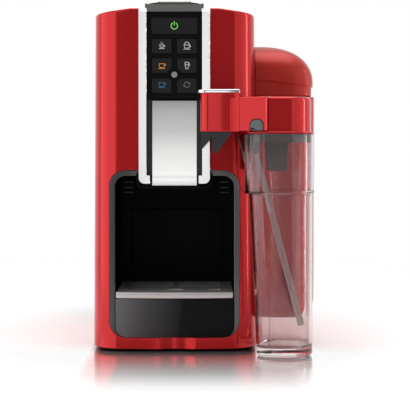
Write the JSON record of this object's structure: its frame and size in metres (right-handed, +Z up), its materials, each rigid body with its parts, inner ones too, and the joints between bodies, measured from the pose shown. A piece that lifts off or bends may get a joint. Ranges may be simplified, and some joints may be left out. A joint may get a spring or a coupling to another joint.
{
  "type": "pod coffee machine",
  "caption": "Tall glossy pod coffee machine with a black cup bay, pull-out drip tray, push keys, top capsule lever and a clear milk carafe docked on its right side.",
  "frame": {"origin": "centre of the bounding box at table height", "axes": "+X to the carafe side (the user's right), +Y from the control panel to the water tank, +Z up"},
  "size_m": [0.2046, 0.3722, 0.3174],
  "materials": {
    "red_gloss": "high gloss, moulded",
    "base_black": "fine moulded texture",
    "rubber_foot": "matte",
    "bezel_grey": "satin",
    "bay_black": "satin black",
    "panel_black": "high gloss",
    "key_black": "satin",
    "lens_clear": "clear light pipe",
    "circuit_green": "solder mask",
    "inlet_black": "moulded",
    "injector_grey": "glass-filled nylon",
    "heater_alloy": "die-cast alloy",
    "pump_blue": "moulded",
    "meter_white": "moulded",
    "hose_clear": "silicone",
    "pipe_steel": "drawn",
    "bright_frame": "bright satin silver",
    "brushed_silver": "fine brushed",
    "lever_grey": "satin grey",
    "grip_dark": "satin",
    "inlay_maroon": "gloss",
    "float_red": "gloss",
    "tank_smoke": "smoked clear plastic",
    "valve_white": "moulded",
    "jar_clear": "clear plastic",
    "skirt_grey": "satin",
    "tube_clear": "silicone tube",
    "cap_chrome": "polished"
  },
  "bodies": {
    "machine": {"base_plate": "base_black", "feet": "rubber_foot", "front_housing": "red_gloss", "left_cover": "red_gloss", "right_cover": "red_gloss", "top_cover": "red_gloss", "rear_cover": "base_black", "cavity_bezel": "bezel_grey", "cavity_liner": "bay_black", "center_frame": "bright_frame", "guide_strips": "base_black", "control_fascia": "panel_black", "status_lens": "lens_clear", "key_board": "circuit_green", "power_board": "circuit_green", "power_inlet": "inlet_black", "brew_frame": "base_black", "injector_block": "injector_grey", "thermoblock": "heater_alloy", "pump": "pump_blue", "flow_meter": "meter_white", "suction_hose": "hose_clear", "steam_pipe": "pipe_steel", "dock_housing": "red_gloss", "dock_hinge_pin": "pipe_steel", "steam_nozzle": "pipe_steel", "lever_pin": "pipe_steel", "screws": "pipe_steel"},
    "lever": {"lever_arm": "lever_grey", "lever_grip": "grip_dark", "lever_inlay": "inlay_maroon"},
    "cage": {"capsule_cage": "injector_grey"},
    "outlet": {"outlet_plate": "brushed_silver", "outlet_carriage": "grip_dark", "outlet_nozzle": "grip_dark"},
    "tray": {"drip_tray": "bay_black", "tray_front": "panel_black", "capsule_bin": "bay_black"},
    "grille": {"drip_grille": "brushed_silver"},
    "float": {"tray_float": "float_red"},
    "tank": {"water_tank": "tank_smoke", "tank_valve": "valve_white"},
    "tank_cover": {"tank_lid": "grip_dark"},
    "dock_flap": {"dock_cover": "red_gloss"},
    "jar": {"carafe_jar": "jar_clear"},
    "lid": {"carafe_lid": "red_gloss", "lid_skirt": "skirt_grey", "frother_block": "skirt_grey", "suction_tube": "tube_clear"},
    "arm": {"milk_arm": "red_gloss", "arm_chrome_cap": "cap_chrome", "milk_spout": "grip_dark"},
    "tab": {"release_tab": "skirt_grey"},
    "power_key_cap": {"power_key": "key_black"},
    "espresso_key_cap": {"espresso_key": "key_black"},
    "cappuccino_key_cap": {"cappuccino_key": "key_black"},
    "coffee_key_cap": {"coffee_key": "key_black"},
    "latte_key_cap": {"latte_key": "key_black"},
    "water_key_cap": {"water_key": "key_black"},
    "rinse_key_cap": {"rinse_key": "key_black"}
  },
  "joints": [
    {"name": "lever_hinge", "type": "hinge", "parent": "machine", "child": "lever", "pos_m": [-0.02725, 0.0412, 0.308], "axis": [-1, 0, 0], "range_deg": [0, 70]},
    {"name": "cage_slide", "type": "slide", "parent": "machine", "child": "cage", "axis": [0, 1, 0], "range_m": [0, 0.028]},
    {"name": "outlet_slide", "type": "slide", "parent": "machine", "child": "outlet", "axis": [0, 0, 1], "range_m": [0, 0.045]},
    {"name": "tray_slide", "type": "slide", "parent": "machine", "child": "tray", "axis": [0, -1, 0], "range_m": [0, 0.195]},
    {"name": "grille_lift", "type": "slide", "parent": "tray", "child": "grille", "axis": [0, 0, 1], "range_m": [0, 0.03]},
    {"name": "float_slide", "type": "slide", "parent": "tray", "child": "float", "axis": [0, 0, 1], "range_m": [0, 0.006]},
    {"name": "tank_lift", "type": "slide", "parent": "machine", "child": "tank", "axis": [0, 0, 1], "range_m": [0, 0.3]},
    {"name": "tank_lid_hinge", "type": "hinge", "parent": "tank", "child": "tank_cover", "pos_m": [-0.02725, 0.1792, 0.291], "axis": [-1, 0, 0], "range_deg": [0, 100]},
    {"name": "dock_cover_hinge", "type": "hinge", "parent": "machine", "child": "dock_flap", "pos_m": [0.07275, -0.0398, 0.2475], "axis": [-1, 0, 0], "range_deg": [0, 60]},
    {"name": "carafe_slide", "type": "slide", "parent": "machine", "child": "jar", "axis": [0, -1, 0], "range_m": [0, 0.15]},
    {"name": "lid_lift", "type": "slide", "parent": "jar", "child": "lid", "axis": [0, 0, 1], "range_m": [0, 0.185]},
    {"name": "arm_swing", "type": "hinge", "parent": "lid", "child": "arm", "pos_m": [0.04005, -0.1723, 0.205], "axis": [0, 0, 1], "range_deg": [0, 60]},
    {"name": "tab_press", "type": "slide", "parent": "arm", "child": "tab", "axis": [0.3344, 0.9424, 0], "range_m": [0, 0.0012], "stiffness_N_per_m": 500},
    {"name": "power_key_press", "type": "slide", "parent": "machine", "child": "power_key_cap", "axis": [0, 1, 0], "range_m": [0, 0.0008], "stiffness_N_per_m": 600},
    {"name": "espresso_key_press", "type": "slide", "parent": "machine", "child": "espresso_key_cap", "axis": [0, 1, 0], "range_m": [0, 0.0008], "stiffness_N_per_m": 600},
    {"name": "cappuccino_key_press", "type": "slide", "parent": "machine", "child": "cappuccino_key_cap", "axis": [0, 1, 0], "range_m": [0, 0.0008], "stiffness_N_per_m": 600},
    {"name": "coffee_key_press", "type": "slide", "parent": "machine", "child": "coffee_key_cap", "axis": [0, 1, 0], "range_m": [0, 0.0008], "stiffness_N_per_m": 600},
    {"name": "latte_key_press", "type": "slide", "parent": "machine", "child": "latte_key_cap", "axis": [0, 1, 0], "range_m": [0, 0.0008], "stiffness_N_per_m": 600},
    {"name": "water_key_press", "type": "slide", "parent": "machine", "child": "water_key_cap", "axis": [0, 1, 0], "range_m": [0, 0.0008], "stiffness_N_per_m": 600},
    {"name": "rinse_key_press", "type": "slide", "parent": "machine", "child": "rinse_key_cap", "axis": [0, 1, 0], "range_m": [0, 0.0008], "stiffness_N_per_m": 600}
  ],
  "couplings": [
    {"joint": "cage_slide", "follows": "lever_hinge", "m_per_rad": 0.0229}
  ]
}
